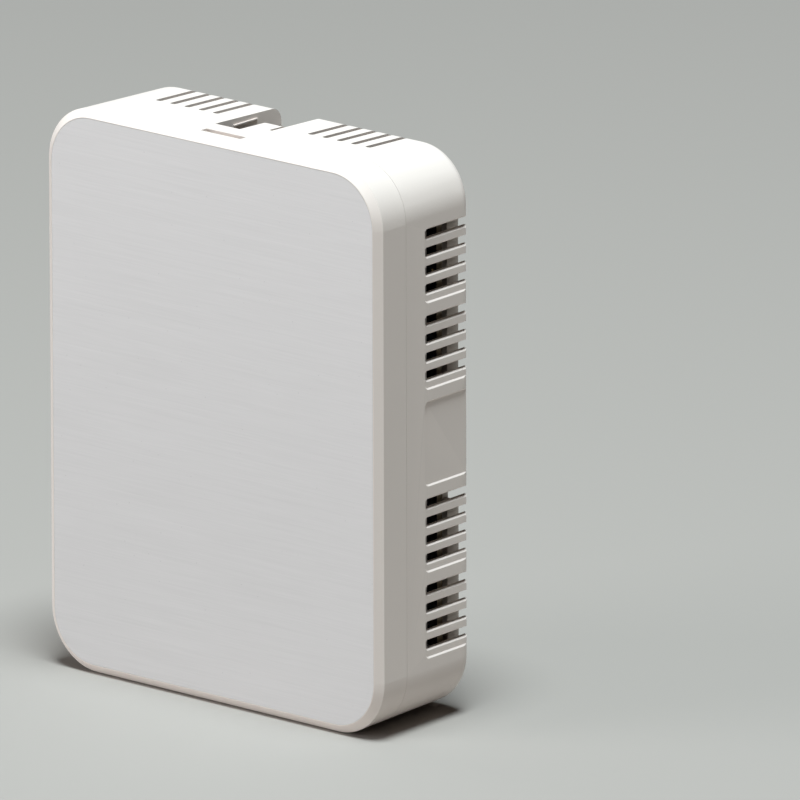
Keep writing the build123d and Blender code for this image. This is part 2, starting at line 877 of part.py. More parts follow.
def make_climate_board():
    """Small board that keeps the humidity sensor away from the main board's heat."""
    back = board_front - gas_stand
    front = back - gas_board
    board = slab(front, back, climate_width, climate_height, small_board_corner, climate_x, climate_z)
    slots = []
    for side in (-1, 1):
        slots.append(Pos(climate_x + side * 3.2, back, climate_z - 2.6) * Box(0.8, 4, 5))
    return cut(board, slots)


def make_climate_pins():
    """Row of pins that hold the small board."""
    pins = []
    z = climate_z + climate_height / 2 - climate_pin_inset
    for offset in centred_row(climate_pins, pin_pitch):
        pins.append(on_board(climate_x + offset, z, pin_side, pin_side, gas_stand))
    return Compound(pins)


def make_climate_sensor():
    """Temperature and humidity chip with its round sensing window."""
    lift = gas_stand + gas_board
    z = climate_z - climate_chip_drop
    chip = on_board(climate_x, z, climate_chip_side, climate_chip_side, climate_chip_height, lift)
    front = board_front - lift - climate_chip_height
    window = rod(climate_x, z, climate_window_radius, front - 1, front + climate_window_depth)
    return chip - window


# ---------------------------------------------------------------- terminal block
plug_lift = 0.4
entry_wall = 1.2
screw_recess = 0.6
screw_drop = 3.4
hole_clearance = 0.06
socket_clearance = 0.5
cage_clearance = 0.04
block_width = poles * pole_pitch + 2 * (header_wall + plug_gap)
header_top = window_bottom - 14.0
header_bottom = header_top - header_length
plug_bottom = header_top + plug_gap
plug_top = plug_bottom + plug_body_length
plug_back = board_front - plug_lift
plug_front = plug_back - plug_thickness
nose_back = board_front - header_wall - plug_gap
nose_front = board_front - header_thickness + header_wall + plug_gap
contact_y = (nose_back + nose_front) / 2
pole_xs = centred_row(poles, pole_pitch)
entry_y = plug_back - entry_wall - wire_entry / 2
screw_y0 = plug_front + screw_recess
screw_z = plug_top - screw_drop


def make_terminal_header():
    """Socket soldered to the board, open at the top for the plug."""
    half = block_width / 2
    shell = block(-half, half, board_front - header_thickness, board_front, header_bottom, header_top)
    inner = half - header_wall
    cavity = block(
        -inner,
        inner,
        board_front - header_thickness + header_wall,
        board_front - header_wall,
        header_bottom + header_floor,
        header_top + 1,
    )
    hole = contact_side + hole_clearance
    holes = [pole_box(x, hole, contact_y, header_bottom - 1, header_top) for x in pole_xs]
    return cut(shell, [cavity] + holes)


def pole_box(x, side, y, z0, z1):
    """Square bar along Z at one pole."""
    return block(x - side / 2, x + side / 2, y - side / 2, y + side / 2, z0, z1)


def make_terminal_pins():
    """Bent contact pins: up into the plug and back to the board."""
    pins = []
    low = header_bottom - 1.0
    high = header_bottom + header_floor + contact_length - 1
    for x in pole_xs:
        upright = pole_box(x, contact_side, contact_y, low, high)
        x0 = x - contact_side / 2
        leg = block(x0, x0 + contact_side, contact_y, board_front, low, low + contact_side)
        pins.append(upright + leg)
    return Compound(pins)


def make_terminal_plug():
    """Pluggable screw terminal: wires enter at the top, screws turn from the front."""
    half = poles * pole_pitch / 2
    body = block(-half, half, plug_front, plug_back, plug_bottom, plug_top)
    nose = block(-half, half, nose_front, nose_back, plug_bottom - plug_nose_length, plug_bottom + 1)
    cuts = []
    socket_side = contact_side + socket_clearance
    socket_low = plug_bottom - plug_nose_length - 1
    bore = terminal_screw_radius + terminal_screw_clearance
    for x in pole_xs:
        cuts.append(pole_box(x, wire_entry, entry_y, plug_top - wire_entry_depth, plug_top + 1))
        cuts.append(pole_box(x, socket_side, contact_y, socket_low, plug_bottom + 1.5))
        cuts.append(rod(x, screw_z, bore, plug_front - 1, entry_y))
    return cut(body + nose, cuts)


def make_wire_clamps():
    """Square metal cages that grip the wires, one in each entry."""
    cages = []
    top = plug_top - wire_entry_depth + 0.1 + clamp_length
    for x in pole_xs:
        side = wire_entry - cage_clearance
        cage = pole_box(x, side, entry_y, top - clamp_length, top)
        cages.append(cage - pole_box(x, side - 2 * clamp_wall, entry_y, top - clamp_length - 1, top + 1))
    return Compound(cages)


def make_terminal_screw(x):
    """Slotted clamping screw of one pole."""
    screw = rod(x, screw_z, terminal_screw_radius, screw_y0, screw_y0 + terminal_screw_length)
    slot = Pos(x, screw_y0, screw_z) * Box(2 * terminal_screw_radius + 1, 1.2, 0.5)
    return screw - slot


# ---------------------------------------------------------------- switches
dip_x = board_left + 10.5
dip_z = window_bottom - 9.0
dip_height = dip_count * dip_pitch + 1.6
dip_front = board_front - dip_thickness
button_x = board_right - 9.5
button_z = window_bottom - 7.0
button_front = board_front - button_thickness


def make_dip_base():
    """Body of the address switch, with a groove for each slider."""
    body = on_board(dip_x, dip_z, dip_width, dip_height, dip_thickness)
    grooves = []
    length = dip_nib + dip_travel + 2 * dip_clearance
    for offset in centred_row(dip_count, dip_pitch):
        groove = Box(length, 2 * dip_slot_depth, dip_nib + 2 * dip_clearance)
        grooves.append(Pos(dip_x, dip_front, dip_z + offset) * groove)
    return cut(body, grooves)


def make_dip_slider(offset):
    """One slider at the left end of its groove."""
    y0 = dip_front - dip_nib_height
    y1 = dip_front + dip_slot_depth - dip_clearance
    x = dip_x - dip_travel / 2
    z = dip_z + offset
    return block(x - dip_nib / 2, x + dip_nib / 2, y0, y1, z - dip_nib / 2, z + dip_nib / 2)


def make_button_base():
    """Body of the reset button with its metal face and bore."""
    body = on_board(button_x, button_z, button_side, button_side, button_thickness)
    body = chamfer(body.edges().filter_by(Axis.Y), 0.5)
    radius = button_radius + button_clearance
    bore = rod(button_x, button_z, radius, button_front - 1, button_front + button_depth)
    return body - bore


def make_button_plunger():
    """Plunger of the reset button, standing out of its body."""
    back = button_front + button_depth - button_travel - 0.1
    plunger = rod(button_x, button_z, button_radius, button_front - button_height, back)
    return fillet(plunger.faces().sort_by(Axis.Y)[0].edges(), 0.3)


# ---------------------------------------------------------------- assembly
def build_nodes():
    """Every separate piece of the monitor by its name."""
    nodes = {
        "front_cover": make_front_cover(),
        "front_panel": make_front_panel(),
        "panel_adhesive": make_panel_adhesive(),
        "housing": make_housing(),
        "latch_tongue": make_latch_tongue(),
        "wall_plate": make_wall_plate(),
        "main_board": make_main_board(),
        "board_screws": make_board_screws(),
        "chip_leads": make_chip_leads(),
        "capacitors": make_capacitors(),
        "inductor": make_inductor(),
        "power_led": make_power_led(),
        "dust_sensor_pad": make_dust_pad(),
        "dust_sensor_case": make_dust_case(),
        "dust_sensor_lid": make_dust_lid(),
        "fan_motor": make_fan_motor(),
        "fan_rotor": make_fan_rotor(),
        "laser_module": make_laser_module(),
        "detector_board": make_detector_board(),
        "dust_sensor_connector": make_dust_connector(),
        "gas_sensor_board": make_gas_board(),
        "gas_sensor_pins": make_gas_pins(),
        "gas_sensor_chamber": make_gas_chamber(),
        "gas_sensor_filter": make_gas_filter(),
        "vapour_sensor": make_vapour_sensor(),
        "vapour_sensor_mesh": make_vapour_mesh(),
        "climate_sensor_board": make_climate_board(),
        "climate_sensor_pins": make_climate_pins(),
        "climate_sensor": make_climate_sensor(),
        "terminal_header": make_terminal_header(),
        "terminal_pins": make_terminal_pins(),
        "terminal_plug": make_terminal_plug(),
        "wire_clamps": make_wire_clamps(),
        "dip_switch_body": make_dip_base(),
        "reset_button_body": make_button_base(),
        "reset_button": make_button_plunger(),
    }
    for name, sizes in chips.items():
        nodes[name] = make_chip(*sizes)
    for index, x in enumerate(pole_xs):
        nodes[f"terminal_screw_{index + 1}"] = make_terminal_screw(x)
    for index, offset in enumerate(reversed(centred_row(dip_count, dip_pitch))):
        nodes[f"dip_slider_{index + 1}"] = make_dip_slider(offset)
    return nodes


os.makedirs("parts", exist_ok=True)
for name, shape in build_nodes().items():
    export_step(shape, f"parts/{name}.step")
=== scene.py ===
import json
import math
import random
import bmesh
import bpy
from mathutils import Matrix, Vector


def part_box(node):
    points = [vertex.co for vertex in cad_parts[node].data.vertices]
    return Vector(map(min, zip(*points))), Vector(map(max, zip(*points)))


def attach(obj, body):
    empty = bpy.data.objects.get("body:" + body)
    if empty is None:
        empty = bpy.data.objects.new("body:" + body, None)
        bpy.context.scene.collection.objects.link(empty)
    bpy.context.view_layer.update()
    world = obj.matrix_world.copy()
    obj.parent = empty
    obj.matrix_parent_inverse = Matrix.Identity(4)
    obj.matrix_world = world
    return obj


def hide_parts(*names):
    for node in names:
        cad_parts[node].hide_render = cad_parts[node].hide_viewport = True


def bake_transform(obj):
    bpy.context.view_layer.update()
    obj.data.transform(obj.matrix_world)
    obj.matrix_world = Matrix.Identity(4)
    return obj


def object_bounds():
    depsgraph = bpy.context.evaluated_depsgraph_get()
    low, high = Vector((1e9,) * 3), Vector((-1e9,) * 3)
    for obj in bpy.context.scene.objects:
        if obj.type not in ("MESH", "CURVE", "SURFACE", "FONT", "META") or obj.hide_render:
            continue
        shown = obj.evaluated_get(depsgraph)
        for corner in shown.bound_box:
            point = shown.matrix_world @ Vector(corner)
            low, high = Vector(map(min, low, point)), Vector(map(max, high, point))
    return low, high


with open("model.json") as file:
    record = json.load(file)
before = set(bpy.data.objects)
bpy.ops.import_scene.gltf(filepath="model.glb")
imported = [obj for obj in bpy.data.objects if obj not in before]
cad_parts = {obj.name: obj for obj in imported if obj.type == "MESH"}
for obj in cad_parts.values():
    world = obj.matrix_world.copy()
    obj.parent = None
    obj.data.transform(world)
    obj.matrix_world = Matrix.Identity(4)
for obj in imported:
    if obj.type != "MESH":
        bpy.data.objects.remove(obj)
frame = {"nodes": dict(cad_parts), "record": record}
cad_box = [list(corner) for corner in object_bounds()]
nodes = frame["nodes"]
MM = 0.001
MICRON = 0.000001


def add_object(name, data):
    """A new object that holds the data, put in the scene."""
    item = bpy.data.objects.new(name, data)
    bpy.context.scene.collection.objects.link(item)
    return item


# ---------------------------------------------------------------- camera
CAMERA_AZIMUTH = math.radians(40.67)
CAMERA_ELEVATION = math.radians(15.88)
CAMERA_ROLL = math.radians(-0.14)
CAMERA_DISTANCE = 4.0
SENSOR_WIDTH = 36.0
VIEW_WIDTH = 156.4 * MM
VIEW_RIGHT = 36.77 * MM
VIEW_UP = 4.14 * MM
CLIP_START = 0.1
CLIP_END = 20.0


def make_camera():
    """Long lens camera, so that the object shows almost no perspective."""
    a, e, roll = CAMERA_AZIMUTH, CAMERA_ELEVATION, CAMERA_ROLL
    back = Vector((math.sin(a) * math.cos(e), -math.cos(a) * math.cos(e), math.sin(e)))
    level = Vector((math.cos(a), math.sin(a), 0))
    upright = back.cross(level)
    right = level * math.cos(roll) + upright * math.sin(roll)
    up = upright * math.cos(roll) - level * math.sin(roll)
    low, high = (Vector(corner) for corner in cad_box)
    face_centre = Vector(((low.x + high.x) / 2, low.y, (low.z + high.z) / 2))
    place = face_centre + right * VIEW_RIGHT + up * VIEW_UP + back * CAMERA_DISTANCE
    data = bpy.data.cameras.new("camera")
    data.sensor_width = SENSOR_WIDTH
    data.lens = SENSOR_WIDTH * CAMERA_DISTANCE / VIEW_WIDTH
    data.clip_start, data.clip_end = CLIP_START, CLIP_END
    camera = add_object("camera", data)
    turn = Matrix((right, up, back)).transposed().to_4x4()
    camera.matrix_world = Matrix.Translation(place) @ turn
    bpy.context.scene.camera = camera


# ---------------------------------------------------------------- stage and light
FLOOR_GAP = 0.2 * MM
FLOOR_SIZE = 40.0
FLOOR_COLOUR = (0.36, 0.33, 0.305)
FLOOR_ROUGHNESS = 0.8
SURROUND_COLOUR = (1.0, 0.80, 0.66, 1)
SURROUND_STRENGTH = 0.02
LIGHT_DISTANCE = 2.0
OVERHEAD_DIRECTION = (0.13, -0.12, 1)
OVERHEAD_SIZE = 0.8
OVERHEAD_POWER = 68
OVERHEAD_COLOUR = (0.85, 0.96, 1.0)
FRONT_DIRECTION = (-0.75, -1.0, 0.25)
FRONT_SIZE = 1.2
FRONT_POWER = 23.5
FRONT_COLOUR = (0.94, 0.975, 1.0)


def make_stage():
    """Wide pale floor just under the object."""
    bpy.ops.mesh.primitive_plane_add(size=FLOOR_SIZE, location=(0, 0, cad_box[0][2] - FLOOR_GAP))
    floor = bpy.context.object
    floor.name = "floor"
    paint = Look("floor_paint", FLOOR_COLOUR, FLOOR_ROUGHNESS)
    floor.data.materials.append(paint.material)


def area_light(name, direction, size, power, colour):
    """Round soft light that points at the object from a direction."""
    data = bpy.data.lights.new(name, "AREA")
    data.shape = "DISK"
    data.size = size
    data.energy = power
    data.color = colour
    light = add_object(name, data)
    away = Vector(direction).normalized()
    light.location = away * LIGHT_DISTANCE
    light.rotation_mode = "QUATERNION"
    light.rotation_quaternion = away.to_track_quat("Z", "Y")


def make_lights():
    """Bright soft light from above, a weaker one from the front left and a dim surround."""
    world = bpy.data.worlds.new("studio")
    bpy.context.scene.world = world
    world.use_nodes = True
    background = world.node_tree.nodes["Background"]
    background.inputs["Color"].default_value = SURROUND_COLOUR
    background.inputs["Strength"].default_value = SURROUND_STRENGTH
    area_light("overhead", OVERHEAD_DIRECTION, OVERHEAD_SIZE, OVERHEAD_POWER, OVERHEAD_COLOUR)
    area_light("front", FRONT_DIRECTION, FRONT_SIZE, FRONT_POWER, FRONT_COLOUR)
    bpy.context.scene.view_settings.view_transform = "Standard"


# ---------------------------------------------------------------- material kit
MIX_FACTOR = 0
MIX_FIRST = 6
MIX_SECOND = 7
MIX_RESULT = 2
WAVE_UNIT = math.pi / 10
# Pointiness range over which the painted highlight on sharp outer edges fades in.
HIGHLIGHT_FROM = 0.53
HIGHLIGHT_FULLY = 0.62
NOISE_LOW = 0.25
NOISE_HIGH = 0.75


class Look:
    """A node material as it is built, with helpers that add and wire its nodes."""

    def __init__(self, name, colour, roughness, metallic=0.0, **sockets):
        self.material = bpy.data.materials.new(name)
        self.material.use_nodes = True
        self.tree = self.material.node_tree
        self.shader = self.tree.nodes["Principled BSDF"]
        self.base = (*colour, 1)
        self.shader.inputs["Base Color"].default_value = self.base
        self.shader.inputs["Roughness"].default_value = roughness
        self.shader.inputs["Metallic"].default_value = metallic
        for name_of_socket, value in sockets.items():
            socket = self.shader.inputs[name_of_socket.replace("_", " ").title()]
            socket.default_value = value
        self.roughness = roughness
        self.normal = None

    def node(self, kind, **inputs):
        """A new node, with its inputs wired or set."""
        node = self.tree.nodes.new(kind)
        for name, value in inputs.items():
            self.feed(value, node.inputs[name])
        return node

    def feed(self, value, socket):
        """Wires an output to a socket, or sets the socket to a constant."""
        if isinstance(value, bpy.types.NodeSocket):
            self.tree.links.new(value, socket)
        else:
            socket.default_value = value

    def place(self, size, stretch=(1, 1, 1)):
        """Object coordinates counted in features of a size in metres, drawn out along each axis."""
        source = self.node("ShaderNodeTexCoord")
        mapping = self.node("ShaderNodeMapping", Vector=source.outputs["Object"])
        mapping.inputs["Scale"].default_value = [1 / (size * factor) for factor in stretch]
        return mapping.outputs["Vector"]

    def noise(self, size, stretch=(1, 1, 1), detail=2.0):
        """Cloudy value between 0 and 1."""
        place = self.place(size, stretch)
        node = self.node("ShaderNodeTexNoise", Vector=place, Scale=1.0, Detail=detail)
        return node.outputs["Fac"]

    def cells(self, size, stretch=(1, 1, 1), scatter=1.0):
        """Distance to the nearest point of a cell pattern."""
        node = self.node("ShaderNodeTexVoronoi", Vector=self.place(size, stretch), Scale=1.0)
        node.inputs["Randomness"].default_value = scatter
        return node.outputs["Distance"]

    def waves(self, size, axis):
        """Value that rises and falls along an axis."""
        node = self.node("ShaderNodeTexWave", Vector=self.place(size), Scale=WAVE_UNIT)
        node.bands_direction = axis
        return node.outputs["Fac"]

    def ramp(self, value, low, high, start=0.0, end=1.0):
        """The value from low to high, spread from start to end."""
        node = self.node("ShaderNodeMapRange", Value=value)
        node.inputs["From Min"].default_value = low
        node.inputs["From Max"].default_value = high
        node.inputs["To Min"].default_value = start
        node.inputs["To Max"].default_value = end
        return node.outputs["Result"]

    def maths(self, operation, a, b=0.0):
        """The result of a sum on one or two values."""
        node = self.node("ShaderNodeMath")
        node.operation = operation
        self.feed(a, node.inputs[0])
        self.feed(b, node.inputs[1])
        return node.outputs["Value"]

    def mix(self, factor, a, b):
        """Colour that goes from a to b with the factor."""
        node = self.node("ShaderNodeMix")
        node.data_type = "RGBA"
        self.feed(factor, node.inputs[MIX_FACTOR])
        self.feed(a, node.inputs[MIX_FIRST])
        self.feed(b, node.inputs[MIX_SECOND])
        return node.outputs[MIX_RESULT]

    def shade(self, factor):
        """The base colour, brighter or darker by a factor."""
        return tuple(min(1.0, channel * factor) for channel in self.base[:3]) + (1,)

    def edges(self, strength):
        """Up to the strength on sharp outer edges, and 0 elsewhere: the mask of a painted highlight."""
        pointiness = self.node("ShaderNodeNewGeometry").outputs["Pointiness"]
        return self.ramp(pointiness, HIGHLIGHT_FROM, HIGHLIGHT_FULLY, 0.0, strength)

    def facing(self, axis):
        """How squarely the surface faces along an object axis, from 0 to 1."""
        source = self.node("ShaderNodeTexCoord")
        parts = self.node("ShaderNodeSeparateXYZ", Vector=source.outputs["Normal"])
        return self.maths("ABSOLUTE", parts.outputs[axis])

    def paint(self, colour):
        """Sets the surface's colour."""
        self.feed(colour, self.shader.inputs["Base Color"])

    def polish(self, value, spread):
        """Roughness that varies by the spread each way with a value from 0 to 1."""
        smooth, dull = self.roughness - spread, self.roughness + spread
        rough = self.ramp(value, NOISE_LOW, NOISE_HIGH, smooth, dull)
        self.feed(rough, self.shader.inputs["Roughness"])

    def relief(self, height, depth):
        """Bump of a depth in metres, added to the bumps before it."""
        bump = self.node("ShaderNodeBump", Height=height, Strength=1.0, Distance=depth)
        if self.normal:
            self.feed(self.normal, bump.inputs["Normal"])
        self.normal = bump.outputs["Normal"]
        self.feed(self.normal, self.shader.inputs["Normal"])


# ---------------------------------------------------------------- materials
# Strength of the painted highlight on the sharp outer edges of moulded parts.
EDGE_HIGHLIGHT = 0.5
TRACK_PITCH = 1.27 * MM
HOLE_SPACING = 3.4 * MM
PLATING = (0.70, 0.58, 0.33, 1)
# Near black painted shade for the centres of the board's holes.
HOLE_SHADE_PAINT = (0.02, 0.015, 0.01, 1)
LAMINATE_DARK = (0.14, 0.112, 0.07, 1)
LAMINATE_PALE = (0.24, 0.192, 0.12, 1)
WIRE_PITCH = 0.28 * MM
# Near black painted shade for the open gaps between the wires.
MESH_GAP_SHADE_PAINT = (0.03, 0.03, 0.03, 1)
SPECK_SPACING = 2.6 * MM


def moulded(name, colour, roughness, grain=0.3 * MM, relief=5 * MICRON, mottle=0.015):
    """Moulded plastic: fine eroded grain, slow random changes of tone, and sharp outer edges painted paler
    as a painted highlight.
    """
    look = Look(name, colour, roughness)
    fine = look.noise(grain, detail=3.0)
    slow = look.noise(40 * grain)
    shade = look.mix(slow, look.shade(1 - mottle), look.shade(1 + mottle))
    shade = look.mix(look.ramp(fine, 0.35, 0.65, 0.0, 0.25), shade, look.shade(1 - 2 * mottle))
    # Painted highlight: sharp outer edges are painted paler, by four mottle steps.
    look.paint(look.mix(look.edges(EDGE_HIGHLIGHT), shade, look.shade(1 + 4 * mottle)))
    look.polish(fine, 0.06)
    look.relief(fine, relief)
    return look.material


def metal(name, colour, roughness, stretch, grain=0.2 * MM):
    """Metal with drawn or rolled lines along the stretched axis, and duller patches."""
    mottle = 0.05
    look = Look(name, colour, roughness, 1.0)
    lines = look.noise(grain, stretch, detail=4.0)
    patches = look.noise(20 * grain, detail=3.0)
    shade = look.mix(lines, look.shade(1 - mottle), look.shade(1 + mottle))
    dull = look.ramp(patches, 0.45, 0.75, 0.0, 0.5)
    look.paint(look.mix(dull, shade, look.shade(1 - 3 * mottle)))
    look.polish(look.maths("MULTIPLY", look.maths("ADD", lines, patches), 0.5), 0.10)
    look.relief(lines, 3 * MICRON)
    return look.material


def brushed_panel():
    """Clear coated metal film, brushed from side to side, with a few specks."""
    colour = (0.63, 0.603, 0.60)
    look = Look("brushed_panel", colour, 0.45, 0.6, coat_weight=0.06, coat_roughness=0.35)
    wide = look.noise(0.5 * MM, (60, 1, 1), detail=3.0)
    thin = look.noise(0.14 * MM, (90, 1, 1), detail=2.0)
    lines = look.maths("ADD", look.maths("MULTIPLY", wide, 0.5), look.maths("MULTIPLY", thin, 0.5))
    shade = look.mix(look.ramp(lines, 0.3, 0.7), look.shade(0.955), look.shade(1.045))
    specks = look.ramp(look.cells(SPECK_SPACING), 0.03, 0.06, 0.5, 0.0)
    look.paint(look.mix(specks, shade, look.shade(0.72)))
    look.polish(lines, 0.05)
    look.relief(lines, 3 * MICRON)
    return look.material


def circuit_board(name, mask):
    """Solder mask over tracks, with plated holes whose centres are painted near black as painted shade, and
    bare laminate on the cut edges.
    """
    look = Look(name, mask, 0.32, coat_weight=0.3, coat_roughness=0.2)
    along_x = look.waves(TRACK_PITCH, "Z")
    along_z = look.waves(TRACK_PITCH, "X")
    zone = look.ramp(look.noise(9 * MM), 0.49, 0.51)
    waves = look.maths("ADD", look.maths("MULTIPLY", along_x, zone),
                       look.maths("MULTIPLY", along_z, look.maths("SUBTRACT", 1.0, zone)))
    busy = look.ramp(look.noise(6 * MM, detail=3.0), 0.42, 0.46)
    tracks = look.maths("MULTIPLY", look.ramp(waves, 0.55, 0.65), busy)
    shade = look.mix(tracks, look.shade(0.85), look.shade(1.7))
    spots = look.cells(HOLE_SPACING, (1, 100, 1), scatter=0.75)
    ring = look.ramp(spots, 0.13, 0.15, 1.0, 0.0)
    hole = look.ramp(spots, 0.06, 0.08, 1.0, 0.0)
    shade = look.mix(ring, shade, PLATING)
    # Painted shade: the hole centres are painted near black.
    shade = look.mix(hole, shade, HOLE_SHADE_PAINT)
    flat = look.ramp(look.facing("Y"), 0.5, 0.6)
    fibres = look.noise(0.12 * MM, (8, 1, 8))
    bare = look.mix(fibres, LAMINATE_DARK, LAMINATE_PALE)
    look.paint(look.mix(flat, bare, shade))
    plated = look.maths("MULTIPLY", ring, look.maths("MULTIPLY", flat, 0.9))
    look.feed(plated, look.shader.inputs["Metallic"])
    look.polish(look.noise(0.6 * MM), 0.07)
    look.relief(tracks, 30 * MICRON)
    look.relief(hole, -60 * MICRON)
    return look.material


def woven_mesh():
    """Fine steel wire cloth: two crossing sets of wires, with the holes between them painted near black as
    painted shade.
    """
    look = Look("steel_mesh", (0.50, 0.50, 0.49), 0.35, 1.0)
    wires = look.maths("MAXIMUM", look.waves(WIRE_PITCH, "X"), look.waves(WIRE_PITCH, "Z"))
    # Painted shade: the gaps between the wires are painted near black.
    look.paint(look.mix(look.ramp(wires, 0.55, 0.8), MESH_GAP_SHADE_PAINT, look.base))
    look.polish(look.noise(0.3 * MM), 0.08)
    look.relief(wires, 60 * MICRON)
    return look.material


def foam():
    """Closed cell foam: small pits of several sizes, painted darker as painted shade, and paler between
    them.
    """
    look = Look("foam", (0.07, 0.07, 0.072), 0.9)
    pits = look.cells(0.5 * MM)
    # Painted shade: the pits are painted darker than the foam between them.
    look.paint(look.mix(look.ramp(pits, 0.1, 0.6), look.shade(0.4), look.shade(1.5)))
    look.polish(look.noise(1.0 * MM), 0.06)
    look.relief(pits, 120 * MICRON)
    return look.material


def membrane():
    """White porous membrane of matted fibres."""
    look = Look("membrane_white", (0.80, 0.80, 0.78), 0.85)
    fibres = look.noise(0.15 * MM, (6, 1, 1), detail=4.0)
    cross = look.noise(0.15 * MM, (1, 1, 6), detail=4.0)
    mat = look.maths("MAXIMUM", fibres, cross)
    look.paint(look.mix(look.ramp(mat, 0.4, 0.7), look.shade(0.82), look.shade(1.1)))
    look.polish(mat, 0.08)
    look.relief(mat, 25 * MICRON)
    return look.material


def iron_powder():
    """Pressed iron powder: grey with light and dark grains."""
    look = Look("inductor_grey", (0.17, 0.17, 0.175), 0.6)
    grains = look.cells(0.22 * MM)
    look.paint(look.mix(look.ramp(grains, 0.2, 0.8), look.shade(1.7), look.shade(0.6)))
    look.polish(look.noise(0.5 * MM), 0.1)
    look.relief(grains, 15 * MICRON)
    return look.material


MATERIALS = {
    "shell_plastic": moulded("shell_plastic", (0.84, 0.745, 0.69), 0.42),
    # Painted shade: the wall plate is the same pale plastic as the housing, coloured darker and browner to
    # stand in for the shade it sits in behind the slots.
    "plate_plastic": moulded("plate_plastic", (0.62, 0.555, 0.50), 0.55, grain=0.4 * MM),
    "brushed_panel": brushed_panel(),
    "adhesive_film": moulded("adhesive_film", (0.48, 0.47, 0.43), 0.35, 1.2 * MM, 12 * MICRON, 0.05),
    "board_black": circuit_board("board_black", (0.020, 0.021, 0.022)),
    "board_blue": circuit_board("board_blue", (0.012, 0.055, 0.22)),
    "screw_steel": metal("screw_steel", (0.55, 0.55, 0.56), 0.32, (1, 12, 1)),
    "tinned_metal": metal("tinned_metal", (0.66, 0.66, 0.64), 0.30, (1, 1, 4), 0.12 * MM),
    "capacitor_can": metal("capacitor_can", (0.66, 0.67, 0.68), 0.30, (14, 1, 14), 0.08 * MM),
    "inductor_grey": iron_powder(),
    "led_clear": moulded("led_clear", (0.85, 0.78, 0.42), 0.22, 0.6 * MM, 4 * MICRON, 0.06),
    "foam": foam(),
    "shield_metal": metal("shield_metal", (0.62, 0.62, 0.61), 0.34, (1, 1, 30), 0.12 * MM),
    "fan_black": moulded("fan_black", (0.022, 0.022, 0.023), 0.38, 0.4 * MM, 6 * MICRON, 0.15),
    "laser_brass": metal("laser_brass", (0.68, 0.50, 0.24), 0.28, (14, 14, 1), 0.10 * MM),
    "connector_white": moulded("connector_white", (0.78, 0.76, 0.70), 0.42, 0.5 * MM, 5 * MICRON, 0.03),
    "gold_pins": metal("gold_pins", (0.83, 0.62, 0.26), 0.22, (1, 10, 1), 0.10 * MM),
    "gold_chamber": metal("gold_chamber", (0.82, 0.62, 0.28), 0.26, (1, 1, 6), 0.25 * MM),
    "membrane_white": membrane(),
    "steel_mesh": woven_mesh(),
    "terminal_green": moulded("terminal_green", (0.035, 0.27, 0.085), 0.42, 0.35 * MM, 5 * MICRON, 0.06),
    "dip_blue": moulded("dip_blue", (0.02, 0.075, 0.36), 0.40, 0.3 * MM, 5 * MICRON, 0.06),
    "slider_white": moulded("slider_white", (0.80, 0.80, 0.77), 0.40, 0.3 * MM, 4 * MICRON, 0.03),
    "button_black": moulded("button_black", (0.02, 0.02, 0.02), 0.45, 0.3 * MM, 5 * MICRON, 0.15),
    "chip_black": moulded("chip_black", (0.025, 0.025, 0.026), 0.50, 0.15 * MM, 9 * MICRON, 0.15),
}


def dress_nodes():
    """Gives each CAD node the material of its slot in the record."""
    for subpart in frame["record"]["subparts"]:
        mesh = nodes[subpart["node"]].data
        mesh.materials.clear()
        mesh.materials.append(MATERIALS[subpart["material_slot"]])


# ---------------------------------------------------------------- moulded edges
EDGE_RADIUS = {
    "housing": 0.12 * MM,
    "wall_plate": 0.25 * MM,
    "terminal_plug": 0.15 * MM,
    "terminal_header": 0.12 * MM,
    "dip_switch_body": 0.12 * MM,
    "dust_sensor_connector": 0.15 * MM,
}
EDGE_SEGMENTS = 2
FLAT_ANGLE = math.radians(0.5)
SHARP_ANGLE = math.radians(40)


def soften(name, width):
    """Rounds a piece's sharp edges, as a mould or a tool leaves them."""
    node = nodes[name]
    weld = node.modifiers.new("joined_faces", "WELD")
    weld.merge_threshold = MICRON
    flatten = node.modifiers.new("whole_faces", "DECIMATE")
    flatten.decimate_type = "DISSOLVE"
    flatten.angle_limit = FLAT_ANGLE
    bevel = node.modifiers.new("edge_radius", "BEVEL")
    bevel.width = width
    bevel.segments = EDGE_SEGMENTS
    bevel.limit_method = "ANGLE"
    bevel.angle_limit = SHARP_ANGLE
    bevel.use_clamp_overlap = True
    normals = node.modifiers.new("even_shading", "WEIGHTED_NORMAL")
    normals.keep_sharp = True


# ---------------------------------------------------------------- latch tongue
ROOT_OVERLAP = 0.35 * MM
BENDS = 6
BENDING_SHARE = 0.5


def make_latch_spring():
    """The latch tongue as it is moulded, its root sunk into the housing, with extra cuts across the half
    near its root, where the real tongue bends.
    """
    (x0, y0, z0), (x1, y1, z1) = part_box("latch_tongue")
    mesh = nodes["latch_tongue"].data.copy()
    form = bmesh.new()
    form.from_mesh(mesh)
    bmesh.ops.remove_doubles(form, verts=form.verts, dist=MICRON)
    for vertex in form.verts:
        if vertex.co.y < y0 + MICRON:
            vertex.co.y -= ROOT_OVERLAP
    for step in range(1, BENDS):
        cut = y0 + (y1 - y0) * BENDING_SHARE * step / BENDS
        parts = form.verts[:] + form.edges[:] + form.faces[:]
        bmesh.ops.bisect_plane(form, geom=parts, plane_co=(0, cut, 0), plane_no=(0, 1, 0))
    form.to_mesh(mesh)
    form.free()
    spring = add_object("latch_spring", mesh)
    mesh.materials.clear()
    mesh.materials.append(MATERIALS["shell_plastic"])
    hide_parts("latch_tongue")
    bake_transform(spring)


